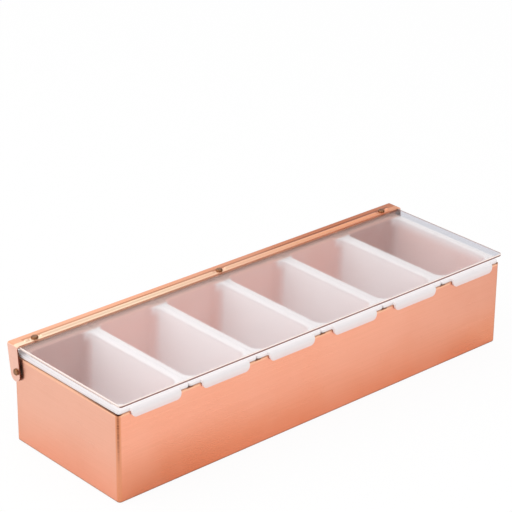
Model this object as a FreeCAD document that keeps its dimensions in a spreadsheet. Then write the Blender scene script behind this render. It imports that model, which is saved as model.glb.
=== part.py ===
import FreeCAD, Part
import math
import os
import Sketcher

from FreeCAD import Placement, Rotation, Vector

# Condiment holder: a row of lift-out cups in a folded sheet casing, under a clear hinged lid.
# Frame in millimetres: +X along the row, -Y to the front, +Z up, origin at the middle of the
# casing's underside.

doc = FreeCAD.newDocument("CondimentHolder")
sheet = doc.addObject("Spreadsheet::Sheet", "Sizes")

sizes = {
    # Casing, one folded sheet
    "casing_length": 484.0,
    "casing_depth": 152.0,
    "casing_height": 87.8,
    "sheet_thickness": 1.0,
    "corner_bend": 3.6,
    "base_bend": 1.6,
    "hem_height": 8.0,
    "hem_round": 0.6,
    "corner_relief": 0.6,
    # Cups and the flanges that carry them on the rim
    "cup_count": 6,
    "cup_spacing_gap": 0.4,
    "row_end_inset": 1.4,
    "seat_gap": 0.2,
    "flange_thickness": 3.0,
    "flange_front_setback": 1.0,
    "flange_back_setback": 0.2,
    "flange_side": 5.8,
    "flange_front": 7.0,
    "flange_back": 7.8,
    "flange_corner": 2.6,
    "flange_edge_round": 0.5,
    "mouth_round": 2.2,
    "cup_wall": 1.8,
    "cup_floor": 2.0,
    "cup_draft": 2.0,
    "cup_corner": 10.0,
    "cup_floor_round": 6.0,
    "under_cup_gap": 9.0,
    # Finger tab on the front of each flange
    "tab_width": 55.0,
    "tab_thickness": 2.3,
    "tab_standoff": 0.8,
    "tab_drop": 5.4,
    "tab_root": 3.0,
    "tab_bend": 2.4,
    "tab_corner": 5.0,
    # Clear lid
    "lid_headroom": 5.4,
    "lid_thickness": 2.6,
    "lid_front_overhang": 3.1,
    "lid_back_overhang": 3.9,
    "lid_side_gap": 1.8,
    "lid_front_corner": 3.5,
    "lid_back_corner": 3.0,
    "lid_edge_break": 0.3,
    # Hinge bar with its bead and arms
    "bar_thickness": 1.2,
    "bar_width": 15.1,
    "bar_back_overhang": 5.5,
    "bar_bend": 1.2,
    "arm_gap": 1.6,
    "arm_end_inset": 5.2,
    "arm_end_drop": 17.4,
    "arm_end_radius": 6.8,
    "bead_inset": 5.0,
    "bead_radius": 3.2,
    "bead_height": 1.0,
    "bead_stop": 5.2,
    "bead_end_margin": 10.5,
    # Rivets through bar and lid
    "rivet_inset": 23.4,
    "rivet_shank_radius": 2.0,
    "rivet_head_radius": 3.5,
    "rivet_head_height": 1.8,
    "rivet_head_round": 1.3,
    "rivet_tail_radius": 2.8,
    "rivet_tail_height": 0.8,
    "rivet_tail_round": 0.5,
    "bar_hole_clearance": 0.1,
    "lid_hole_clearance": 0.3,
    "lid_washer_radius": 3.6,
    "lid_washer_thickness": 0.5,
    # Pivots through arms and end walls
    "pivot_inset": 7.2,
    "pivot_drop": 13.8,
    "pivot_shank_radius": 2.0,
    "pivot_running_clearance": 0.05,
    "pivot_wall_clearance": 0.05,
    "pivot_end_play": 0.1,
    "pivot_head_radius": 3.3,
    "pivot_head_height": 1.8,
    "pivot_head_round": 1.2,
    "pivot_tail_radius": 3.0,
    "pivot_tail_height": 1.2,
    "pivot_tail_round": 0.7,
    "spacer_radius": 4.4,
    "backing_radius": 3.5,
    "backing_thickness": 1.0,
}

for row, (alias, value) in enumerate(sizes.items(), start=1):
    sheet.set("A%d" % row, alias)
    sheet.set("B%d" % row, str(value))
    sheet.setAlias("B%d" % row, alias)
doc.recompute()

# Places that several pieces share, as expressions on the sheet

half_length = "(Sizes.casing_length / 2)"
back_face = "(Sizes.casing_depth / 2)"
front_face = "(-Sizes.casing_depth / 2)"
rim_thickness = "(2 * Sizes.sheet_thickness)"
cup_pitch = "((Sizes.casing_length - 2 * Sizes.row_end_inset) / Sizes.cup_count)"
flange_front_edge = f"({front_face} + Sizes.flange_front_setback)"
flange_back_edge = f"({back_face} - Sizes.flange_back_setback)"

seat_level = "(Sizes.casing_height + Sizes.seat_gap)"
flange_top = f"({seat_level} + Sizes.flange_thickness)"
lid_under = f"({flange_top} + Sizes.lid_headroom)"
lid_top = f"({lid_under} + Sizes.lid_thickness)"
bar_top = f"({lid_top} + Sizes.bar_thickness)"
arm_top = f"({lid_top} - Sizes.bar_bend)"

arm_inner = f"({half_length} + Sizes.arm_gap)"
arm_outer = f"({arm_inner} + Sizes.bar_thickness)"
bar_back = f"({back_face} + Sizes.bar_back_overhang)"
bar_front = f"({bar_back} - Sizes.bar_width)"
bar_middle = f"({bar_back} - Sizes.bar_width / 2)"
rivet_line = f"({bar_front} + Sizes.bead_inset)"

pivot_y = f"({back_face} - Sizes.pivot_inset)"
pivot_z = "(Sizes.casing_height - Sizes.pivot_drop)"
arm_end_y = f"({back_face} - Sizes.arm_end_inset)"
arm_end_z = "(Sizes.casing_height - Sizes.arm_end_drop)"
wall_inner = f"({half_length} - Sizes.sheet_thickness)"
wall_back = f"({back_face} - Sizes.sheet_thickness)"

rivet_x = f"({arm_outer} - Sizes.rivet_inset)"
rivet_places = {"left": f"(-{rivet_x})", "middle": "0", "right": rivet_x}
side_turns = {"left": 180, "right": 0}


def size(expression):
    return float(sheet.evalExpression(expression))


# Bodies, sketches and features


def new_body(label):
    body = doc.addObject("PartDesign::Body", label)
    body.Label = label
    return body


def new_sketch(body, name, role, offset=None):
    sketch = body.newObject("Sketcher::SketchObject", f"{body.Label}_{name}")
    plane = next(f for f in body.Origin.OriginFeatures if f.Role == role)
    sketch.AttachmentSupport = [(plane, "")]
    sketch.MapMode = "FlatFace"
    for axis, expression in (offset or {}).items():
        sketch.setExpression(f"AttachmentOffset.Base.{axis}", expression)
    return sketch


def hold_point(sketch, curve, end, place):
    for kind, expression in zip(("DistanceX", "DistanceY"), place):
        name = f"c{curve}p{end}{kind[-1]}"
        number = sketch.addConstraint(
            Sketcher.Constraint(kind, -1, 1, curve, end, size(expression))
        )
        sketch.renameConstraint(number, name)
        sketch.setExpression(f"Constraints.{name}", expression)


def hold_radius(sketch, curve, expression):
    name = f"c{curve}radius"
    number = sketch.addConstraint(Sketcher.Constraint("Radius", curve, size(expression)))
    sketch.renameConstraint(number, name)
    sketch.setExpression(f"Constraints.{name}", expression)


def draw_polygon(sketch, corners):
    points = [Vector(size(x), size(y), 0) for x, y in corners]
    first = sketch.GeometryCount
    for start, end in zip(points, points[1:] + points[:1]):
        sketch.addGeometry(Part.LineSegment(start, end))
    count = len(corners)
    for index in range(count):
        following = first + (index + 1) % count
        sketch.addConstraint(Sketcher.Constraint("Coincident", first + index, 2, following, 1))
    for index, corner in enumerate(corners):
        hold_point(sketch, first + index, 1, corner)


def draw_rectangle(sketch, left, right, low, high):
    draw_polygon(sketch, [(left, low), (right, low), (right, high), (left, high)])


def draw_round_rectangle(sketch, half_width, half_height, radius):
    # Four straight sides joined by tangent corner arcs, about the sketch's origin
    across = f"({half_width} - {radius})"
    along = f"({half_height} - {radius})"
    corners = [(across, f"-{along}"), (across, along), (f"-{across}", along), (f"-{across}", f"-{along}")]
    arcs = []
    for quarter, (x, y) in enumerate(corners):
        circle = Part.Circle(Vector(size(x), size(y), 0), Vector(0, 0, 1), size(radius))
        start = (quarter - 1) * math.pi / 2
        arcs.append(sketch.addGeometry(Part.ArcOfCircle(circle, start, start + math.pi / 2)))
    for arc, following in zip(arcs, arcs[1:] + arcs[:1]):
        start = sketch.Geometry[arc].EndPoint
        end = sketch.Geometry[following].StartPoint
        side = sketch.addGeometry(Part.LineSegment(start, end))
        sketch.addConstraint(Sketcher.Constraint("Tangent", arc, 2, side, 1))
        sketch.addConstraint(Sketcher.Constraint("Tangent", side, 2, following, 1))
    for arc, corner in zip(arcs, corners):
        hold_point(sketch, arc, 3, corner)
        hold_radius(sketch, arc, radius)


def draw_circle(sketch, centre, radius):
    middle = Vector(size(centre[0]), size(centre[1]), 0)
    curve = sketch.addGeometry(Part.Circle(middle, Vector(0, 0, 1), size(radius)))
    hold_point(sketch, curve, 3, centre)
    hold_radius(sketch, curve, radius)


def draw_half_capsule(sketch, left, right, radius):
    # Upper half of a round-ended bar lying on the sketch's horizontal axis
    low, high, round_end = size(left), size(right), size(radius)
    up = Vector(0, 0, 1)
    base = sketch.addGeometry(Part.LineSegment(Vector(low, 0, 0), Vector(high, 0, 0)))
    right_end = Part.Circle(Vector(high - round_end, 0, 0), up, round_end)
    right_arc = sketch.addGeometry(Part.ArcOfCircle(right_end, 0, math.pi / 2))
    top_line = Part.LineSegment(
        Vector(high - round_end, round_end, 0), Vector(low + round_end, round_end, 0)
    )
    top = sketch.addGeometry(top_line)
    left_end = Part.Circle(Vector(low + round_end, 0, 0), up, round_end)
    left_arc = sketch.addGeometry(Part.ArcOfCircle(left_end, math.pi / 2, math.pi))
    loop = [base, right_arc, top, left_arc]
    for curve, following in zip(loop, loop[1:] + loop[:1]):
        sketch.addConstraint(Sketcher.Constraint("Coincident", curve, 2, following, 1))
    for arc, top_end in ((right_arc, 2), (left_arc, 1)):
        sketch.addConstraint(Sketcher.Constraint("PointOnObject", arc, 3, -1))
        sketch.addConstraint(Sketcher.Constraint("Vertical", arc, top_end, arc, 3))
        hold_radius(sketch, arc, radius)
    hold_point(sketch, base, 1, (left, "0"))
    hold_point(sketch, base, 2, (right, "0"))


def add_pad(body, sketch, name, length, reverse=False, taper=None, symmetric=False):
    pad = body.newObject("PartDesign::Pad", f"{body.Label}_{name}")
    pad.Profile = sketch
    pad.Reversed = reverse
    if symmetric:
        pad.SideType = "Symmetric"
    pad.setExpression("Length", length)
    if taper:
        pad.setExpression("TaperAngle", taper)
    doc.recompute()
    return pad


def add_pocket(body, sketch, name, length=None, reverse=False, taper=None, symmetric=False):
    before = body.Shape.Volume
    pocket = body.newObject("PartDesign::Pocket", f"{body.Label}_{name}")
    pocket.Profile = sketch
    pocket.Reversed = reverse
    if symmetric:
        pocket.SideType = "Symmetric"
    if length:
        pocket.setExpression("Length", length)
    else:
        pocket.Type = "ThroughAll"
    if taper:
        pocket.setExpression("TaperAngle", taper)
    doc.recompute()
    if not pocket.Shape.Volume < before:
        raise RuntimeError(f"{pocket.Label} cuts nothing")
    return pocket


def add_turned(body, kind, sketch, name, axis, angle="360"):
    feature = body.newObject(f"PartDesign::{kind}", f"{body.Label}_{name}")
    feature.Profile = sketch
    feature.ReferenceAxis = (sketch, [axis])
    if angle != "360":
        feature.Midplane = True
    feature.setExpression("Angle", angle)
    doc.recompute()
    return feature


def add_edge_finish(body, kind, name, property_name, amount, wanted):
    base = body.Tip
    edges = base.Shape.Edges
    chosen = [f"Edge{number}" for number, edge in enumerate(edges, start=1) if wanted(edge)]
    if not chosen:
        raise RuntimeError(f"{body.Label}: no edge for {name}")
    finish = body.newObject(f"PartDesign::{kind}", f"{body.Label}_{name}")
    finish.Base = (base, chosen)
    finish.setExpression(property_name, amount)
    doc.recompute()
    if finish.Shape.isNull():
        raise RuntimeError(f"{finish.Label} failed")
    return finish


def add_fillet(body, name, radius, wanted):
    return add_edge_finish(body, "Fillet", name, "Radius", radius, wanted)


# Tests that pick edges by where they lie

touching = 1e-4


def near(value, expression):
    return abs(value - size(expression)) < touching


def is_level(edge, expression):
    box = edge.BoundBox
    return near(box.ZMin, expression) and near(box.ZMax, expression)


def is_upright(edge):
    box = edge.BoundBox
    return box.XLength < touching and box.YLength < touching


def rises(edge):
    return edge.BoundBox.ZLength > touching


# Casing: floor, four walls with bent corners, and a rim folded over inwards


def make_casing():
    body = new_body("casing")
    outside = new_sketch(body, "outside", "XY_Plane")
    draw_round_rectangle(outside, half_length, back_face, "Sizes.corner_bend")
    add_pad(body, outside, "block", "Sizes.casing_height")
    add_fillet(body, "outer_base", "Sizes.base_bend", lambda edge: is_level(edge, "0"))

    inside = new_sketch(body, "inside", "XY_Plane", {"z": "Sizes.sheet_thickness"})
    inner_corner = "(Sizes.corner_bend - Sizes.sheet_thickness)"
    inner_base = "Sizes.base_bend - Sizes.sheet_thickness"
    draw_round_rectangle(inside, wall_inner, wall_back, inner_corner)
    add_pocket(body, inside, "hollow", reverse=True)
    add_fillet(body, "inner_base", inner_base, lambda edge: is_level(edge, "Sizes.sheet_thickness"))
    add_hem(body)
    relieve_corners(body)
    drill_pivots(body, "Sizes.pivot_shank_radius + Sizes.pivot_wall_clearance")
    return body


def add_hem(body):
    # The folded rim stops at the corner bends, where the sheet can't fold over
    hem_inner_x = f"({half_length} - {rim_thickness})"
    hem_inner_y = f"({back_face} - {rim_thickness})"
    end_x = f"({half_length} - Sizes.corner_bend)"
    end_y = f"({back_face} - Sizes.corner_bend)"
    hem_foot = {"z": "Sizes.casing_height - Sizes.hem_height"}
    hem = new_sketch(body, "hem", "XY_Plane", hem_foot)
    draw_rectangle(hem, f"-{end_x}", end_x, hem_inner_y, wall_back)
    draw_rectangle(hem, f"-{end_x}", end_x, f"-{wall_back}", f"-{hem_inner_y}")
    draw_rectangle(hem, hem_inner_x, wall_inner, f"-{end_y}", end_y)
    draw_rectangle(hem, f"-{wall_inner}", f"-{hem_inner_x}", f"-{end_y}", end_y)
    add_pad(body, hem, "hem_fold", "Sizes.hem_height")


def relieve_corners(body):
    end_x = f"({half_length} - Sizes.corner_bend)"
    end_y = f"({back_face} - Sizes.corner_bend)"
    relief = new_sketch(body, "relief", "XY_Plane", {"z": "Sizes.casing_height"})
    for near_x, far_x in ((end_x, half_length), (f"-{half_length}", f"-{end_x}")):
        for near_y, far_y in ((end_y, back_face), (front_face, f"-{end_y}")):
            draw_rectangle(relief, near_x, far_x, near_y, far_y)
    add_pocket(body, relief, "corner_notches", "Sizes.corner_relief")

    def along_rim(edge):
        straight = edge.BoundBox.XLength < touching or edge.BoundBox.YLength < touching
        long_enough = edge.Length > size(f"3 * {rim_thickness}")
        return is_level(edge, "Sizes.casing_height") and straight and long_enough

    add_fillet(body, "rim_round", "Sizes.hem_round", along_rim)


def drill_pivots(body, radius):
    holes = new_sketch(body, "pivot_holes", "YZ_Plane")
    draw_circle(holes, (pivot_y, pivot_z), radius)
    add_pocket(body, holes, "pivot_bores", symmetric=True)


# Cups: tapered bowl, flange on the rim and finger tab over the front wall


def make_cup(number):
    body = new_body(f"insert_{number}")
    half_flange = f"(({cup_pitch} - Sizes.cup_spacing_gap) / 2)"
    half_mouth = f"({half_flange} - Sizes.flange_side)"
    mouth_front = f"({flange_front_edge} + Sizes.flange_front)"
    mouth_back = f"({flange_back_edge} - Sizes.flange_back)"
    half_mouth_depth = f"(({mouth_back} - {mouth_front}) / 2)"
    mouth_middle = f"(({mouth_back} + {mouth_front}) / 2)"
    cup_bottom = "(Sizes.sheet_thickness + Sizes.under_cup_gap)"
    floor_level = f"({cup_bottom} + Sizes.cup_floor)"
    at_mouth = {"y": mouth_middle, "z": flange_top}

    bowl = new_sketch(body, "bowl", "XY_Plane", at_mouth)
    draw_round_rectangle(
        bowl,
        f"({half_mouth} + Sizes.cup_wall)",
        f"({half_mouth_depth} + Sizes.cup_wall)",
        "(Sizes.cup_corner + Sizes.cup_wall)",
    )
    bowl_depth = f"{flange_top} - {cup_bottom}"
    add_pad(body, bowl, "bowl_block", bowl_depth, reverse=True, taper="-Sizes.cup_draft")

    add_flange(body, half_flange)
    add_tab(body)

    hollow = new_sketch(body, "hollow", "XY_Plane", at_mouth)
    draw_round_rectangle(hollow, half_mouth, half_mouth_depth, "Sizes.cup_corner")
    hollow_depth = f"{flange_top} - {floor_level}"
    add_pocket(body, hollow, "hollow_cut", hollow_depth, taper="-Sizes.cup_draft")

    def on_mouth(edge):
        box = edge.BoundBox
        within_x = max(box.XMax, -box.XMin) < size(half_mouth) + touching
        reach = size(half_mouth_depth) + touching
        middle = size(mouth_middle)
        within_y = max(box.YMax - middle, middle - box.YMin) < reach
        return is_level(edge, flange_top) and within_x and within_y

    floor_round = "Sizes.cup_floor_round"
    add_fillet(body, "hollow_floor", floor_round, lambda edge: is_level(edge, floor_level))
    base_round = "Sizes.cup_floor_round + Sizes.cup_wall"
    add_fillet(body, "bowl_base", base_round, lambda edge: is_level(edge, cup_bottom))
    add_fillet(body, "mouth_lip", "Sizes.mouth_round", on_mouth)
    body.setExpression("Placement.Base.x", f"({number} - (Sizes.cup_count + 1) / 2) * {cup_pitch}")
    return body


def add_flange(body, half_flange):
    flange = new_sketch(body, "flange", "XY_Plane", {"z": seat_level})
    draw_rectangle(flange, f"-{half_flange}", half_flange, flange_front_edge, flange_back_edge)
    add_pad(body, flange, "flange_plate", "Sizes.flange_thickness")

    def at_flange_corner(edge):
        return is_upright(edge) and near(abs(edge.BoundBox.Center.x), half_flange)

    def on_flange_rim(edge):
        return is_level(edge, flange_top)

    add_fillet(body, "flange_corners", "Sizes.flange_corner", at_flange_corner)
    add_fillet(body, "flange_edges", "Sizes.flange_edge_round", on_flange_rim)


def add_tab(body):
    tab_inner = f"({front_face} - Sizes.tab_standoff)"
    tab_outer = f"({tab_inner} - Sizes.tab_thickness)"
    tab_foot = "(Sizes.casing_height - Sizes.tab_drop)"
    tab_start = f"({front_face} + Sizes.tab_root)"
    tab = new_sketch(body, "tab", "YZ_Plane")
    corners = [
        (tab_start, flange_top),
        (tab_outer, flange_top),
        (tab_outer, tab_foot),
        (tab_inner, tab_foot),
        (tab_inner, seat_level),
        (tab_start, seat_level),
    ]
    draw_polygon(tab, corners)
    add_pad(body, tab, "tab_strip", "Sizes.tab_width", symmetric=True)

    def at_tab_corner(edge):
        box = edge.BoundBox
        at_side = near(abs(box.Center.x), "Sizes.tab_width / 2") and box.XLength < touching
        return at_side and is_level(edge, tab_foot)

    def at_tab_bend(edge):
        box = edge.BoundBox
        return is_level(edge, flange_top) and near(box.YMin, tab_outer) and near(box.YMax, tab_outer)

    add_fillet(body, "tab_corners", "Sizes.tab_corner", at_tab_corner)
    add_fillet(body, "tab_bend", "Sizes.tab_bend", at_tab_bend)


# Clear lid sheet


def make_lid_panel():
    body = new_body("lid_panel")
    half_lid = f"({arm_inner} - Sizes.lid_side_gap)"
    lid_front = f"({front_face} - Sizes.lid_front_overhang)"
    lid_back = f"({back_face} + Sizes.lid_back_overhang)"
    outline = new_sketch(body, "outline", "XY_Plane", {"z": lid_under})
    draw_rectangle(outline, f"-{half_lid}", half_lid, lid_front, lid_back)
    add_pad(body, outline, "panel", "Sizes.lid_thickness")
    add_fillet(
        body,
        "front_corners",
        "Sizes.lid_front_corner",
        lambda edge: is_upright(edge) and near(edge.BoundBox.Center.y, lid_front),
    )
    add_fillet(
        body,
        "back_corners",
        "Sizes.lid_back_corner",
        lambda edge: is_upright(edge) and near(edge.BoundBox.Center.y, lid_back),
    )
    add_edge_finish(
        body,
        "Chamfer",
        "edge_break",
        "Size",
        "Sizes.lid_edge_break",
        lambda edge: not rises(edge),
    )
    drill_rivet_holes(body, "Sizes.rivet_shank_radius + Sizes.lid_hole_clearance")
    return body


def drill_rivet_holes(body, radius):
    holes = new_sketch(body, "rivet_holes", "XY_Plane", {"z": bar_top})
    for place in rivet_places.values():
        draw_circle(holes, (place, rivet_line), radius)
    add_pocket(body, holes, "rivet_bores", f"{bar_top} - {lid_under} + Sizes.lid_washer_thickness")


# Hinge bar: strip with bent ends, arms round the pivots and a pressed bead


def make_hinge_bar():
    body = new_body("hinge_bar")
    strip = new_sketch(body, "strip", "XZ_Plane", {"z": f"-{bar_middle}"})
    corners = [
        (f"-{arm_outer}", arm_top),
        (f"-{arm_outer}", bar_top),
        (arm_outer, bar_top),
        (arm_outer, arm_top),
        (arm_inner, arm_top),
        (arm_inner, lid_top),
        (f"-{arm_inner}", lid_top),
        (f"-{arm_inner}", arm_top),
    ]
    draw_polygon(strip, corners)
    add_pad(body, strip, "strip_bar", "Sizes.bar_width", symmetric=True)

    def at_bend(side, level):
        def wanted(edge):
            box = edge.BoundBox
            return is_level(edge, level) and near(abs(box.Center.x), side) and box.XLength < touching

        return wanted

    add_arms(body)
    outer_bend = "Sizes.bar_bend + Sizes.bar_thickness"
    add_fillet(body, "outer_bends", outer_bend, at_bend(arm_outer, bar_top))
    add_fillet(body, "inner_bends", "Sizes.bar_bend", at_bend(arm_inner, lid_top))
    add_beads(body)
    drill_rivet_holes(body, "Sizes.rivet_shank_radius + Sizes.bar_hole_clearance")
    drill_pivots(body, "Sizes.pivot_shank_radius + Sizes.pivot_running_clearance")
    return body


def tangent_angle(point, centre, radius, side):
    reach = point - centre
    return math.atan2(reach.y, reach.x) + side * math.acos(radius / reach.Length)


def draw_arm(sketch):
    # Two edges that close in on a round end just below the pivot
    centre = Vector(size(arm_end_y), size(arm_end_z), 0)
    radius = size("Sizes.arm_end_radius")
    front = Vector(size(bar_front), size(arm_top), 0)
    back = Vector(size(bar_back), size(arm_top), 0)
    start_angle = tangent_angle(front, centre, radius, 1)
    end_angle = tangent_angle(back, centre, radius, -1) + 2 * math.pi
    rim = Part.ArcOfCircle(Part.Circle(centre, Vector(0, 0, 1), radius), start_angle, end_angle)
    top = sketch.addGeometry(Part.LineSegment(back, front))
    front_edge = sketch.addGeometry(Part.LineSegment(front, rim.StartPoint))
    end_arc = sketch.addGeometry(rim)
    back_edge = sketch.addGeometry(Part.LineSegment(rim.EndPoint, back))
    sketch.addConstraint(Sketcher.Constraint("Coincident", top, 2, front_edge, 1))
    sketch.addConstraint(Sketcher.Constraint("Coincident", back_edge, 2, top, 1))
    sketch.addConstraint(Sketcher.Constraint("Tangent", front_edge, 2, end_arc, 1))
    sketch.addConstraint(Sketcher.Constraint("Tangent", end_arc, 2, back_edge, 1))
    hold_point(sketch, top, 1, (bar_back, arm_top))
    hold_point(sketch, top, 2, (bar_front, arm_top))
    hold_point(sketch, end_arc, 3, (arm_end_y, arm_end_z))
    hold_radius(sketch, end_arc, "Sizes.arm_end_radius")


def add_arms(body):
    for side, inner_face in (("right", arm_inner), ("left", f"-{arm_outer}")):
        arm = new_sketch(body, f"{side}_arm", "YZ_Plane", {"z": inner_face})
        draw_arm(arm)
        add_pad(body, arm, f"{side}_arm_plate", "Sizes.bar_thickness")


def add_beads(body):
    # Raised rib with an even wall, left out around each rivet and near the bends
    axis_depth = "(Sizes.bead_radius - Sizes.bead_height)"
    on_axis = {"y": f"{bar_top} - {axis_depth}", "z": f"-{rivet_line}"}
    bar_end = f"({arm_outer} - Sizes.bead_end_margin)"
    runs = [
        (f"-{bar_end}", f"(-{rivet_x} - Sizes.bead_stop)"),
        (f"(-{rivet_x} + Sizes.bead_stop)", "(-Sizes.bead_stop)"),
        ("Sizes.bead_stop", f"({rivet_x} - Sizes.bead_stop)"),
        (f"({rivet_x} + Sizes.bead_stop)", bar_end),
    ]
    wall = "Sizes.bar_thickness"
    crest = new_sketch(body, "bead_crest", "XZ_Plane", on_axis)
    trough = new_sketch(body, "bead_trough", "XZ_Plane", on_axis)
    for left, right in runs:
        draw_half_capsule(crest, left, right, "Sizes.bead_radius")
        draw_half_capsule(trough, f"{left} + {wall}", f"{right} - {wall}", f"Sizes.bead_radius - {wall}")
    add_turned(body, "Revolution", crest, "bead", "H_Axis", "180")
    underside = new_sketch(body, "bead_underside", "XY_Plane", {"z": lid_top})
    past_bead = f"({bar_end} + Sizes.bead_radius)"
    draw_rectangle(underside, f"-{past_bead}", past_bead, bar_front, bar_back)
    add_pocket(body, underside, "flat_underside", "Sizes.bead_radius")
    add_turned(body, "Groove", trough, "bead_hollow", "H_Axis")


# Turned pieces: rivets, washers and spacers


def make_turned(label, role_axis, outline):
    body = new_body(label)
    profile = new_sketch(body, "profile", "XZ_Plane")
    draw_polygon(profile, outline)
    add_turned(body, "Revolution", profile, "turning", role_axis)
    return body


def place_on_bar(body, place):
    body.setExpression("Placement.Base.x", place)
    body.setExpression("Placement.Base.y", rivet_line)


def place_on_pivot(body, side):
    body.Placement = Placement(Vector(), Rotation(Vector(0, 0, 1), side_turns[side]))
    body.setExpression("Placement.Base.y", pivot_y)
    body.setExpression("Placement.Base.z", pivot_z)


def make_lid_rivet(side, place):
    tail_top = f"({lid_under} - Sizes.lid_washer_thickness)"
    tail_end = f"({tail_top} - Sizes.rivet_tail_height)"
    head_end = f"({bar_top} + Sizes.rivet_head_height)"
    outline = [
        ("0", tail_end),
        ("Sizes.rivet_tail_radius", tail_end),
        ("Sizes.rivet_tail_radius", tail_top),
        ("Sizes.rivet_shank_radius", tail_top),
        ("Sizes.rivet_shank_radius", bar_top),
        ("Sizes.rivet_head_radius", bar_top),
        ("Sizes.rivet_head_radius", head_end),
        ("0", head_end),
    ]
    body = make_turned(f"lid_rivet_{side}", "V_Axis", outline)
    add_fillet(body, "dome", "Sizes.rivet_head_round", lambda edge: is_level(edge, head_end))
    add_fillet(body, "set_end", "Sizes.rivet_tail_round", lambda edge: is_level(edge, tail_end))
    place_on_bar(body, place)
    return body


def make_lid_washer(side, place):
    low = f"({lid_under} - Sizes.lid_washer_thickness)"
    bore = "(Sizes.rivet_shank_radius + Sizes.bar_hole_clearance)"
    outline = [
        (bore, low),
        ("Sizes.lid_washer_radius", low),
        ("Sizes.lid_washer_radius", lid_under),
        (bore, lid_under),
    ]
    body = make_turned(f"lid_washer_{side}", "V_Axis", outline)
    place_on_bar(body, place)
    return body


def at_station(edge, expression):
    box = edge.BoundBox
    return near(box.XMin, expression) and near(box.XMax, expression)


def make_pivot_rivet(side):
    head_base = f"({arm_outer} + Sizes.pivot_end_play)"
    head_end = f"({head_base} + Sizes.pivot_head_height)"
    tail_base = f"({wall_inner} - Sizes.backing_thickness)"
    tail_end = f"({tail_base} - Sizes.pivot_tail_height)"
    outline = [
        (tail_end, "0"),
        (tail_end, "Sizes.pivot_tail_radius"),
        (tail_base, "Sizes.pivot_tail_radius"),
        (tail_base, "Sizes.pivot_shank_radius"),
        (head_base, "Sizes.pivot_shank_radius"),
        (head_base, "Sizes.pivot_head_radius"),
        (head_end, "Sizes.pivot_head_radius"),
        (head_end, "0"),
    ]
    body = make_turned(f"pivot_rivet_{side}", "H_Axis", outline)
    add_fillet(body, "dome", "Sizes.pivot_head_round", lambda edge: at_station(edge, head_end))
    add_fillet(body, "set_end", "Sizes.pivot_tail_round", lambda edge: at_station(edge, tail_end))
    place_on_pivot(body, side)
    return body


def make_pivot_ring(label, side, start, end, radius):
    bore = "(Sizes.pivot_shank_radius + Sizes.pivot_wall_clearance)"
    outline = [(start, bore), (start, radius), (end, radius), (end, bore)]
    body = make_turned(f"{label}_{side}", "H_Axis", outline)
    place_on_pivot(body, side)
    return body


pieces = [make_casing()]
pieces += [make_cup(number + 1) for number in range(int(size("Sizes.cup_count")))]
pieces += [make_lid_panel(), make_hinge_bar()]
for side, place in rivet_places.items():
    pieces += [make_lid_rivet(side, place), make_lid_washer(side, place)]
spacer_end = f"({arm_inner} - Sizes.pivot_end_play)"
backing_end = f"({wall_inner} - Sizes.backing_thickness)"
for side in side_turns:
    pieces.append(make_pivot_rivet(side))
    pieces.append(make_pivot_ring("pivot_spacer", side, half_length, spacer_end, "Sizes.spacer_radius"))
    pieces.append(make_pivot_ring("pivot_backing", side, backing_end, wall_inner, "Sizes.backing_radius"))
doc.recompute()

for item in doc.Objects:
    if "Invalid" in item.State or "Error" in item.State:
        raise RuntimeError(f"{item.Label} failed: {item.State}")
for piece in pieces:
    if piece.Shape.isNull() or not piece.Shape.isValid() or len(piece.Shape.Solids) != 1:
        raise RuntimeError(f"{piece.Label} is not one sound solid")

os.makedirs("parts", exist_ok=True)
for piece in pieces:
    piece.Shape.exportStep(f"parts/{piece.Label}.step")
    print(piece.Label, round(piece.Shape.Volume), "mm3")
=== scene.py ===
import bpy
from mathutils import Matrix, Vector


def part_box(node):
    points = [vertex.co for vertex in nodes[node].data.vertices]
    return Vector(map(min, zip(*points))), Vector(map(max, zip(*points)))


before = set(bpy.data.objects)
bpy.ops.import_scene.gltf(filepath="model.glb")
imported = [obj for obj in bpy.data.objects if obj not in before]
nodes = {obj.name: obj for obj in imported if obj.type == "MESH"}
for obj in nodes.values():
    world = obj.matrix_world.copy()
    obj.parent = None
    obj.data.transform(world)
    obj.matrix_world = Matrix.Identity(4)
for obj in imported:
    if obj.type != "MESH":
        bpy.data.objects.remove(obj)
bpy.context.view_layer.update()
print("frame loaded:", len(nodes), "nodes")

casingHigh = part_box("casing")[1]
lidLow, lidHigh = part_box("lid_panel")
barLow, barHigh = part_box("hinge_bar")
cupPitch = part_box("insert_2")[0].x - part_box("insert_1")[0].x
halfLength = casingHigh.x
halfDepth = casingHigh.y
rimHeight = casingHigh.z


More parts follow.
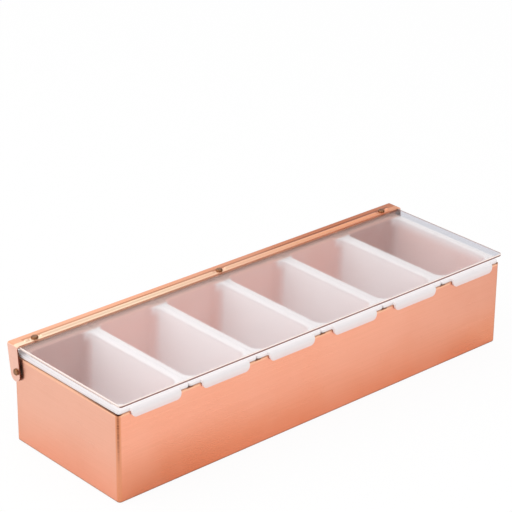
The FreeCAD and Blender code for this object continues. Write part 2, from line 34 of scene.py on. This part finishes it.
# a socket that takes part in Python expressions
class Flow:
    def __init__(self, tree, socket=None):
        self.tree = tree
        self.socket = socket

    def node(self, kind, settings=None, sockets=None, out=0):
        made = self.tree.nodes.new("ShaderNode" + kind)
        for name, value in (settings or {}).items():
            setattr(made, name, value)
        for name, value in (sockets or {}).items():
            self.plug(made.inputs[name], value)
        return Flow(self.tree, made.outputs[out])

    def plug(self, target, value):
        if isinstance(value, Flow):
            self.tree.links.new(value.socket, target)
        else:
            target.default_value = value

    def math(self, operation, *values):
        return self.node("Math", {"operation": operation}, dict(enumerate(values)))

    def __add__(self, other):
        return self.math("ADD", self, other)

    __radd__ = __add__

    def __sub__(self, other):
        return self.math("SUBTRACT", self, other)

    def __rsub__(self, other):
        return self.math("SUBTRACT", other, self)

    def __mul__(self, other):
        return self.math("MULTIPLY", self, other)

    __rmul__ = __mul__

    def __truediv__(self, other):
        return self.math("DIVIDE", self, other)

    def __rtruediv__(self, other):
        return self.math("DIVIDE", other, self)

    def __abs__(self):
        return self.math("ABSOLUTE", self)

    def larger(self, other):
        return self.math("MAXIMUM", self, other)

    def split(self, vector):
        made = self.node("SeparateXYZ", {}, {0: vector}).socket.node
        return [Flow(self.tree, part) for part in made.outputs]

    def ramp(self, low, high):                     # 0 at low, 1 at high, eased
        sockets = {"Value": self, "From Min": low, "From Max": high}
        return self.node("MapRange", {"interpolation_type": "SMOOTHSTEP"}, sockets)

    def inFrom(self, face, start, full):           # the same between two depths behind a face
        return self.ramp(face - start, face - full)


def rgba(shade):
    return (*shade, 1.0)


def blend(amount, first, second):
    colours = [c if isinstance(c, Flow) else rgba(c) for c in (first, second)]
    return amount.node("Mix", {"data_type": "RGBA"}, {0: amount, 6: colours[0], 7: colours[1]}, out=2)


def blendAmount(amount, first, second):
    return first * (1 - amount) + second * amount


def newFinish(name):
    material = bpy.data.materials.new(name)
    material.use_nodes = True
    tree = material.node_tree
    tree.nodes.clear()
    output = tree.nodes.new("ShaderNodeOutputMaterial")
    flow = Flow(tree)
    place = flow.node("TexCoord", out=3)           # Object coordinates, the frame in metres
    return material, flow, place, output.inputs["Surface"]


def facing(flow):                                  # the surface's direction in the frame
    return flow.split(flow.node("TexCoord", out=1))


def rays(flow, *kinds):
    path = flow.node("LightPath").socket.node.outputs
    return [Flow(flow.tree, path[f"Is {kind} Ray"]) for kind in kinds]


def directView(flow):                              # 1 where it is seen straight or through the lid
    seen, through = rays(flow, "Camera", "Transmission")
    return seen.larger(through)


def stretchedNoise(place, cells, detail, roughness):
    stretched = place.node("Mapping", {}, {"Vector": place, "Scale": cells})
    sockets = {"Vector": stretched, "Scale": 1.0, "Detail": detail, "Roughness": roughness}
    return place.node("TexNoise", {}, sockets)


def evenNoise(place, cells, detail, roughness):
    return stretchedNoise(place, (cells, cells, cells), detail, roughness)


def offCupMiddle(x):                               # 0 in the middle of each cup, 0.5 at the dividers
    pitches = x / cupPitch
    return abs(pitches.math("FRACT", pitches) - 0.5)


def dress(names, material):
    for name in names:
        piece = nodes[name]
        if not piece.material_slots:
            piece.data.materials.append(material)
        for slot in piece.material_slots:
            slot.material = material


# copper-plated sheet with a fine brushed grain that runs round the box
grainLook = {
    "worn": (0.99, 0.57, 0.43),
    "dull": (0.62, 0.24, 0.13),
    "roughness": 0.30,
    "cellsAlong": 14.0,                            # noise cells per metre along the grain
    "cellsAcross": 2600.0,
    "grainNoise": (3.0, 0.5),                      # detail and roughness
    "cloudNoise": (9.0, 4.0, 0.55),                # cells per metre, detail and roughness
    "spotNoise": (160.0, 2.0, 0.6),
    "turnIn": (0.0040, 0.0005),                    # in from the end walls, where the grain turns
    "cloudRange": (0.35, 0.7),
    "cloudShare": 0.22,
    "grainRange": (0.3, 0.7),
    "grainShare": 0.11,
    "spotRange": (0.62, 0.8),
    "spotShare": 0.10,
    "grainGloss": 0.16,                            # how much the roughness follows the noise
    "cloudGloss": 0.10,
    "depth": 0.000012,
    "bumpStrength": 0.6,
}


def brushedCopper(name, paint):
    look = grainLook
    material, flow, place, surface = newFinish(name)
    x = flow.split(place)[0]
    along, across = look["cellsAlong"], look["cellsAcross"]
    alongX = stretchedNoise(place, (along, across, across), *look["grainNoise"])
    alongY = stretchedNoise(place, (across, along, across), *look["grainNoise"])
    onEnds = abs(x).inFrom(halfLength, *look["turnIn"])
    grain = blendAmount(onEnds, alongX, alongY)
    clouds = evenNoise(place, *look["cloudNoise"])
    spots = evenNoise(place, *look["spotNoise"])

    colour = paint(flow, place, onEnds)
    colour = blend(clouds.ramp(*look["cloudRange"]) * look["cloudShare"], colour, look["worn"])
    colour = blend(grain.ramp(*look["grainRange"]) * look["grainShare"], colour, look["dull"])
    colour = blend(spots.ramp(*look["spotRange"]) * look["spotShare"], colour, look["dull"])
    roughness = look["roughness"] + (grain - 0.5) * look["grainGloss"]
    roughness = roughness + (clouds - 0.5) * look["cloudGloss"]
    bump = flow.node("Bump", {}, {
        "Height": grain, "Distance": look["depth"], "Strength": look["bumpStrength"],
    })
    shader = flow.node("BsdfPrincipled", {}, {
        "Base Color": colour, "Metallic": 1.0, "Roughness": roughness, "Normal": bump,
    })
    flow.plug(surface, shader)
    return material


# the casing: a paler painted sheen on its end walls, painted shade towards the foot and towards the
# front's right end, a painted highlight and a painted shadow line along the rim, a painted contact
# shadow at the foot, and a painted dark reflection where the corners are bent
casingLook = {
    # the front's own copper, and the end walls painted paler, a painted sheen
    "front": (0.97, 0.43, 0.285),
    "ends": (0.83, 0.435, 0.315),
    "farShade": (0.75, 0.315, 0.21),                    # painted shade on the front towards its right end
    "farSpan": (0.02, 0.26),
    "farShare": 0.8,
    # painted shade towards the foot, standing in for the shaded floor that the walls reflect
    "foot": (0.90, 0.33, 0.17),
    "footHeight": 0.060,
    "footShare": (0.85, 0.40),                     # on the long walls and on the ends
    "leftFootShade": (0.68, 0.22, 0.10),                # painted deeper shade at the foot near the left end
    "deepSpan": (-0.23, -0.08),
    "deepShare": 0.6,
    # painted highlight just below the top of the rim
    "rimHighlight": (1.0, 0.58, 0.37),
    "highlightIn": (0.0030, 0.0016),                   # below the top of the rim
    "highlightShare": 0.8,
    # painted shadow line, along the top of the rim and at the foot
    "shadowLine": (0.22, 0.085, 0.04),
    "rimLineIn": (0.0009, 0.0004),
    "dividerBand": (0.44, 0.47),                   # off a cup's middle, in pitches
    "rimShadeLong": (0.25, 0.95),                      # the painted shadow line on the rim beside a cup and at a divider
    "rimShadeEnds": (1.0, 0.25),                       # the painted shadow line on the rim at the front and at the back
    "rimShadeSpan": (-0.06, 0.0),
    # painted dark reflection on the bent corners, with a darker streaked painted line down their middle
    "bend": (0.70, 0.245, 0.10),
    "bendIn": (0.0042, 0.0024),                    # in from each outer face
    "bendShare": 0.8,
    "bendReflectionLine": (0.20, 0.055, 0.02),
    "bendLineHalf": (0.0004, 0.0024),              # either side of the middle of the bend
    "bendLineRise": (0.15, 0.95),
    "bendLineShare": (0.10, 0.80),                 # at the foot and at the rim
    "streakCells": (30.0, 30.0, 900.0),
    "streakNoise": (2.0, 0.6),
    "streakRange": (0.35, 0.65),
    "streakShare": (0.7, 1.2),
    # painted contact shadow along the foot
    "footShadow": (0.0006, 0.0026),
    "footLineShare": 0.7,
}


def casingPaint(flow, place, onEnds):
    look = casingLook
    x, y, z = flow.split(place)
    # the end walls get a paler painted sheen
    colour = blend(onEnds, look["front"], look["ends"])
    # painted shade on the front towards its right end
    colour = blend(x.ramp(*look["farSpan"]) * look["farShare"], colour, look["farShade"])
    # painted shade towards the foot, deeper near the left end
    low = 1 - z.ramp(0.0, look["footHeight"])
    colour = blend(low * blendAmount(onEnds, *look["footShare"]), colour, look["foot"])
    nearLeft = (1 - x.ramp(*look["deepSpan"])) * (1 - onEnds)
    colour = blend(low * nearLeft * look["deepShare"], colour, look["leftFootShade"])

    # painted highlight just below the top of the rim
    colour = blend(z.inFrom(rimHeight, *look["highlightIn"]) * look["highlightShare"], colour, look["rimHighlight"])
    # painted shadow line along the top of the rim, where the cups' flanges sit
    rimShadeLong = blendAmount(offCupMiddle(x).ramp(*look["dividerBand"]), *look["rimShadeLong"])
    rimShadeEnds = blendAmount(y.ramp(*look["rimShadeSpan"]), *look["rimShadeEnds"])
    rimShadow = z.inFrom(rimHeight, *look["rimLineIn"]) * blendAmount(onEnds, rimShadeLong, rimShadeEnds)
    colour = blend(rimShadow, colour, look["shadowLine"])

    # painted dark reflection on the bent corners
    bend = abs(x).inFrom(halfLength, *look["bendIn"]) * abs(y).inFrom(halfDepth, *look["bendIn"])
    colour = blend(bend * look["bendShare"], colour, look["bend"])
    offMiddle = abs((halfLength - abs(x)) - (halfDepth - abs(y)))
    rise = z.ramp(0.0, rimHeight).ramp(*look["bendLineRise"])
    line = bend * (1 - offMiddle.ramp(*look["bendLineHalf"])) * blendAmount(rise, *look["bendLineShare"])
    streaks = stretchedNoise(place, look["streakCells"], *look["streakNoise"])
    streaks = blendAmount(streaks.ramp(*look["streakRange"]), *look["streakShare"])
    colour = blend(line * streaks, colour, look["bendReflectionLine"])
    # painted contact shadow along the foot
    footShadow = (1 - z.ramp(*look["footShadow"])) * look["footLineShare"]
    return blend(footShadow, colour, look["shadowLine"])


# the hinge bar: a painted highlight to the left fading to painted shade at the right, a painted
# highlight on the bead's crest and painted shade on its back slope, a paler painted sheen on the arms'
# outer faces, and painted shade on their inner faces and front edges
barLook = {
    "turn": (-0.16, 0.24),                         # from the left colour of each pair to the right one
    # painted highlight on the left fading to painted shade at the right
    "back": ((0.93, 0.44, 0.265), (0.68, 0.20, 0.085)),
    # painted highlight on the bead's crest and the strip in front of it
    "beadHighlight": ((1.0, 0.77, 0.56), (1.0, 0.44, 0.24)),
    "highlightEdge": (0.0722, 0.0728),                # crest of the bead and the strip before it
    # painted shade on the bead's back slope
    "flankShade": ((0.60, 0.26, 0.13), (0.36, 0.08, 0.025)),
    "flankStart": (0.0731, 0.0737),
    "flankStop": (0.0758, 0.0768),
    "beadEnd": (0.0115, 0.0105),                   # in from the bar's ends
    "topStep": 0.0005,                             # above the clear sheet
    # paler painted sheen on the arms' outer faces
    "arms": (0.86, 0.52, 0.42),
    "armOut": (0.0008, 0.0014),                    # out from the end walls
    # painted shade on the arms' inner faces and front edges, in the gap beside the end walls
    "armShade": (0.13, 0.032, 0.014),
    "inwardTurn": (0.3, 0.7),
    "forwardTurn": (0.5, 0.8),
}


def barPaint(flow, place, onEnds):
    look = barLook
    x, y, z = flow.split(place)
    nx, ny, _ = facing(flow)
    turn = x.ramp(*look["turn"])
    # painted highlight to the left fading to painted shade at the right
    colour = blend(turn, *look["back"])
    onTop = z.ramp(lidHigh.z, lidHigh.z + look["topStep"])
    # painted highlight on the bead's crest and the strip in front of it
    beadHighlight = 1 - y.ramp(*look["highlightEdge"])
    colour = blend(onTop * beadHighlight, colour, blend(turn, *look["beadHighlight"]))
    onBead = 1 - abs(x).inFrom(barHigh.x, *look["beadEnd"])
    # painted shade on the bead's back slope
    flankShade = onTop * onBead * y.ramp(*look["flankStart"]) * (1 - y.ramp(*look["flankStop"]))
    colour = blend(flankShade, colour, blend(turn, *look["flankShade"]))
    # paler painted sheen on the arms' outer faces
    colour = blend(onEnds * (1 - onTop), colour, look["arms"])
    # painted shade on the arms' inner faces and front edges below the sheet
    start, full = look["armOut"]
    onArm = abs(x).ramp(halfLength + start, halfLength + full) * (1 - z.ramp(lidLow.z, lidHigh.z))
    inward = (-1 * nx * x.math("SIGN", x)).ramp(*look["inwardTurn"])
    forward = (-1 * ny).ramp(*look["forwardTurn"])
    return blend(onArm * inward.larger(forward), colour, look["armShade"])


# moulded white plastic, a little see-through, with a painted copper-coloured shade where copper stands
# behind its walls and on the back flange under the bar, deeper on the first and last cup's back walls,
# and painted shade on its flange tops, outer edges and tab fronts
cupLook = {
    "base": (0.965, 0.915, 0.922),
    # painted copper-coloured shade where copper stands behind the walls, and on the back flange under
    # the bar
    "warm": (0.80, 0.395, 0.322),
    "endWarm": (0.46, 0.185, 0.145),               # deeper painted shade on the back walls of the first and last cup
    "endCups": (0.62, 0.72),                       # shares of the casing's half length
    "warmShare": 0.92,
    "warmMottle": 0.3,
    "belowIn": (0.010, -0.003),                    # below the casing's rim
    "backIn": (0.022, 0.010),                      # in from the casing's outer faces
    "frontIn": (0.022, 0.008),
    "endIn": (0.016, 0.004),
    "endShare": 0.75,
    "flangeIn": (0.014, 0.009),
    "flangeFade": 0.4,
    "mouthBand": (0.36, 0.45),                     # off a cup's middle, in pitches
    "mouthShare": (0.5, 1.0),                      # at a divider and at a cup's middle
    # painted shade on the flange tops
    "top": (0.84, 0.79, 0.80),
    "topShare": 0.45,
    # painted shade on the flanges' outer edges and the tabs' fronts
    "outerEdgeShade": (0.80, 0.755, 0.765),
    "outerIn": (0.0040, 0.0022),
    "tabShare": 0.55,
    "step": 0.001,                                 # how soon one shade turns into the next
    "roughness": 0.38,
    "roughnessMottle": 0.12,
    "mottleNoise": (28.0, 3.0, 0.5),
    "skinNoise": (900.0, 2.0, 0.5),
    "skinDepth": 0.00002,
    "skinStrength": 0.35,
    "ior": 1.46,
}


def cupPlastic():
    look = cupLook
    material, flow, place, surface = newFinish("cupPlastic")
    x, y, z = flow.split(place)
    step = look["step"]
    mottle = evenNoise(place, *look["mottleNoise"])
    skin = evenNoise(place, *look["skinNoise"])

    # painted copper-coloured shade where copper stands behind the walls
    below = 1 - z.inFrom(rimHeight, *look["belowIn"])
    nearBack = y.inFrom(halfDepth, *look["backIn"])
    nearFront = (-1 * y).inFrom(halfDepth, *look["frontIn"])
    nearEnds = abs(x).inFrom(halfLength, *look["endIn"]) * look["endShare"]
    onFlange = z.inFrom(rimHeight, step, -step)
    atMouth = 1 - offCupMiddle(x).ramp(*look["mouthBand"])
    # painted shade on the back flange under the bar
    behind = y.inFrom(halfDepth, *look["flangeIn"]) * blendAmount(atMouth, *look["mouthShare"])
    behind = behind * (1 - look["flangeFade"] * onFlange)
    warmth = (below * nearBack.larger(nearFront).larger(nearEnds)).larger(behind)

    # deeper painted shade on the back walls of the first and last cup
    endCup = abs(x).ramp(*(halfLength * share for share in look["endCups"]))
    warm = blend(endCup * nearBack, look["warm"], look["endWarm"])
    amount = warmth * (look["warmShare"] + look["warmMottle"] * (mottle - 0.5))
    # the painted copper-coloured shade, mottled
    colour = blend(amount, look["base"], warm)
    # painted shade on the flange tops
    colour = blend(onFlange * look["topShare"], colour, look["top"])
    # painted shade on the flanges' outer edges and the tabs' fronts
    outer = abs(x).inFrom(halfLength, *look["outerIn"]) * z.inFrom(rimHeight, step, 0.0)
    tab = (-1 * y).inFrom(halfDepth, step, -step) * look["tabShare"]
    colour = blend(outer.larger(tab), colour, look["outerEdgeShade"])

    roughness = look["roughness"] + look["roughnessMottle"] * (mottle - 0.5)
    bump = flow.node("Bump", {}, {
        "Height": skin, "Distance": look["skinDepth"], "Strength": look["skinStrength"],
    })
    shader = flow.node("BsdfPrincipled", {}, {
        "Base Color": colour, "Roughness": roughness, "Normal": bump, "IOR": look["ior"],
    })
    flow.plug(surface, shader)
    return material


# clear flat sheet that lets the lamps through, with a painted copper reflection and shade in front of
# the bar, painted shade under the bar and along its right end, and sawn edges with a painted highlight
# along their top and painted shade at their foot
sheetLook = {
    "tint": (1.0, 0.995, 1.0),
    "barReflection": (1.0, 0.73, 0.64),
    "nearBand": (0.0130, 0.0085),                  # in front of the bar, a painted copper reflection and shade
    "barShade": (0.66, 0.36, 0.27),
    "barBand": (0.0018, -0.0005),                  # painted shade from under the bar out
    "rightEndShade": (0.72, 0.72, 0.78),
    "endBand": (0.0120, 0.0100),                   # painted shade in from the right end
    "roughness": 0.12,
    "hazeNoise": (18.0, 3.0, 0.6),
    "hazeSwing": (0.6, 1.4),
    "ior": 1.49,
    "edgeTurn": (0.80, 0.98),                      # of the upward direction, over the edges' rounding
    "edgeShare": 0.97,
    # painted highlight along the top of the sawn edges and painted shade at their foot
    "edgeHighlight": (1.0, 0.86, 0.80),
    "edgeShade": (0.18, 0.035, 0.015),
    "footShare": 0.57,                             # of the sheet's thickness
    "footStep": 0.0002,
    "endTurn": (0.6, 0.9),
    "endLit": 0.72,                                # the short edges carry the painted highlight down to their foot
    "sawnRoughness": 0.35,
}


def clearSheet():
    look = sheetLook
    material, flow, place, surface = newFinish("clearSheet")
    x, y, z = flow.split(place)
    nx, _, nz = facing(flow)
    haze = evenNoise(place, *look["hazeNoise"])
    roughness = look["roughness"] * blendAmount(haze, *look["hazeSwing"])
    # painted copper reflection and shade in front of the bar
    tint = blend(y.inFrom(barLow.y, *look["nearBand"]), look["tint"], look["barReflection"])
    # painted shade under the bar
    tint = blend(y.inFrom(barLow.y, *look["barBand"]), tint, look["barShade"])
    # painted shade along the right end
    tint = blend(x.inFrom(lidHigh.x, *look["endBand"]), tint, look["rightEndShade"])
    glass = flow.node("BsdfPrincipled", {}, {
        "Base Color": tint, "Roughness": roughness, "IOR": look["ior"], "Transmission Weight": 1.0,
    })

    # sawn edges: painted highlight at the top, painted shade at the foot
    edge = 1 - abs(nz).ramp(*look["edgeTurn"])
    footTop = lidLow.z + look["footShare"] * (lidHigh.z - lidLow.z)
    lit = z.ramp(footTop - look["footStep"], footTop + look["footStep"])
    lit = lit.larger(abs(nx).ramp(*look["endTurn"]) * look["endLit"])
    sawn = flow.node("BsdfPrincipled", {}, {
        "Base Color": blend(lit, look["edgeShade"], look["edgeHighlight"]), "Roughness": look["sawnRoughness"],
    })
    body = flow.node("MixShader", {}, {0: edge * look["edgeShare"], 1: glass, 2: sawn})
    clear = flow.node("BsdfTransparent")
    toLamp, bounced = rays(flow, "Shadow", "Diffuse")
    forLamps = flow.node("MixShader", {}, {0: toLamp, 1: body, 2: clear})
    flow.plug(surface, flow.node("MixShader", {}, {0: bounced, 1: forLamps, 2: clear}))
    return material


# small fittings: bronze rivets, steel washers and dark plastic spacers
fittingLook = {
    "bronzeRivet": {
        "base": (0.34, 0.165, 0.085), "dark": (0.16, 0.075, 0.038),
        "metallic": 1.0, "roughness": 0.30, "noise": (420.0, 4.0, 0.6),
    },
    "plainWasher": {
        "base": (0.62, 0.60, 0.57), "dark": (0.45, 0.43, 0.41),
        "metallic": 1.0, "roughness": 0.35, "noise": (500.0, 4.0, 0.6),
    },
    "spacerPlastic": {
        "base": (0.022, 0.014, 0.011), "dark": (0.012, 0.008, 0.006),
        "metallic": 0.0, "roughness": 0.55, "noise": (600.0, 4.0, 0.6),
    },
    "mottleRange": (0.35, 0.7),
    "roughnessMottle": 0.2,
    "bumpDepth": 0.00003,
    "bumpStrength": 0.5,
}


def fittingFinish(name):
    look, own = fittingLook, fittingLook[name]
    material, flow, place, surface = newFinish(name)
    mottle = evenNoise(place, *own["noise"])
    colour = blend(mottle.ramp(*look["mottleRange"]), own["base"], own["dark"])
    bump = flow.node("Bump", {}, {
        "Height": mottle, "Distance": look["bumpDepth"], "Strength": look["bumpStrength"],
    })
    shader = flow.node("BsdfPrincipled", {}, {
        "Base Color": colour, "Metallic": own["metallic"],
        "Roughness": own["roughness"] + look["roughnessMottle"] * (mottle - 0.5), "Normal": bump,
    })
    flow.plug(surface, shader)
    return material


cups = [f"insert_{n}" for n in range(1, 7)]
ends = ("left", "right")
places = ("left", "middle", "right")
rivets = [f"lid_rivet_{p}" for p in places] + [f"pivot_rivet_{e}" for e in ends]
washers = [f"lid_washer_{p}" for p in places] + [f"pivot_backing_{e}" for e in ends]
spacers = [f"pivot_spacer_{e}" for e in ends]
dress(["casing"], brushedCopper("copperCasing", casingPaint))
dress(["hinge_bar"], brushedCopper("copperBar", barPaint))
dress(cups, cupPlastic())
dress(["lid_panel"], clearSheet())
dress(rivets, fittingFinish("bronzeRivet"))
dress(washers, fittingFinish("plainWasher"))
dress(spacers, fittingFinish("spacerPlastic"))
print("finishes on", len(nodes), "nodes")


# pale floor that stays white to the camera and keeps a soft shadow
floorLook = {
    "size": 16.0,
    "drop": 0.0002,
    "colour": (0.95, 0.95, 0.95),
    "fleck": (0.9, 0.9, 0.9),
    "fleckNoise": (40.0, 3.0, 0.5),
    "fleckShare": 0.02,
    "lift": 0.93,                                  # share of plain white that the camera sees
}


def makeFloor():
    look = floorLook
    bpy.ops.object.select_all(action="DESELECT")
    bpy.ops.mesh.primitive_plane_add(size=look["size"], location=(0, 0, -look["drop"]))
    floor = bpy.context.active_object
    floor.name = "floor"
    bpy.ops.object.transform_apply(location=True, rotation=True, scale=True)
    material, flow, place, surface = newFinish("paleFloor")
    fleck = evenNoise(place, *look["fleckNoise"])
    tone = blend(fleck * look["fleckShare"], look["colour"], look["fleck"])
    matt = flow.node("BsdfDiffuse", {}, {"Color": tone})
    white = flow.node("Emission", {}, {"Strength": 1.0})
    shown = directView(flow) * look["lift"]
    flow.plug(surface, flow.node("MixShader", {}, {0: shown, 1: matt, 2: white}))
    floor.data.materials.append(material)


makeFloor()

# soft light from the upper left and behind, with a weak one in front
lampLook = {
    "key": {"at": (-2.00, 0.72, 1.60), "width": 3.2, "power": 31.0},
    "front": {"at": (0.00, -1.50, 0.95), "width": 1.2, "power": 4.0},
}


def addLamp(name, at, width, power):
    bpy.ops.object.light_add(type="AREA", location=at)
    lamp = bpy.context.active_object
    lamp.name = name
    lamp.data.shape = "SQUARE"
    lamp.data.size = width
    lamp.data.energy = power
    aim = Vector((0, 0, rimHeight / 2)) - Vector(at)
    lamp.rotation_euler = aim.to_track_quat("-Z", "Y").to_euler()


for lampName, lampSettings in lampLook.items():
    addLamp(lampName, **lampSettings)

# white surroundings, bright overhead and behind, with a dim panel standing at the back right
worldLook = {
    "horizon": 0.80,
    "overhead": 1.10,
    "climb": (0.25, 0.85),
    "glow": (0.42, 0.78, 0.46),
    "glowEdge": (0.80, 0.97),
    "glowGain": 0.60,
    "panel": (0.767, 0.544, 0.34),
    "panelEdge": (0.955, 0.99),
    "panelShade": 0.6,
}


def nearness(toward, direction):                   # 1 straight towards a direction
    sockets = {0: toward, 1: Vector(direction).normalized()}
    return toward.node("VectorMath", {"operation": "DOT_PRODUCT"}, sockets, out=1)


def makeWorld():
    look = worldLook
    world = bpy.data.worlds.new("studio")
    bpy.context.scene.world = world
    world.use_nodes = True
    tree = world.node_tree
    tree.nodes.clear()
    output = tree.nodes.new("ShaderNodeOutputWorld")
    flow = Flow(tree)
    toward = flow.node("TexCoord", out=0)
    z = flow.split(toward)[2]
    sky = blendAmount(z.ramp(*look["climb"]), look["horizon"], look["overhead"])
    sky = sky + look["glowGain"] * nearness(toward, look["glow"]).ramp(*look["glowEdge"])
    sky = sky * (1 - look["panelShade"] * nearness(toward, look["panel"]).ramp(*look["panelEdge"]))
    strength = blendAmount(directView(flow), sky, 1.0)
    flow.plug(output.inputs["Surface"], flow.node("Background", {}, {"Strength": strength}))


makeWorld()
print("floor, lamps and surroundings ready")

# camera at the photograph's viewing point
cameraLook = {
    "at": (-1.227505, -1.352942, 0.982568),
    "right": (0.74765318, -0.66402975, 0.00890009),
    "up": (0.27195736, 0.31837745, 0.90811618),
    "lens": 150.107,
    "sensor": 36.0,
}


def makeCamera():
    look = cameraLook
    bpy.ops.object.camera_add(location=look["at"])
    camera = bpy.context.active_object
    right, up = Vector(look["right"]), Vector(look["up"])
    turn = Matrix((right, up, right.cross(up))).transposed()
    camera.rotation_euler = turn.to_euler()
    camera.data.lens = look["lens"]
    camera.data.sensor_width = look["sensor"]
    bpy.context.scene.camera = camera


makeCamera()
bpy.context.scene.view_settings.view_transform = "Standard"
print("camera set")
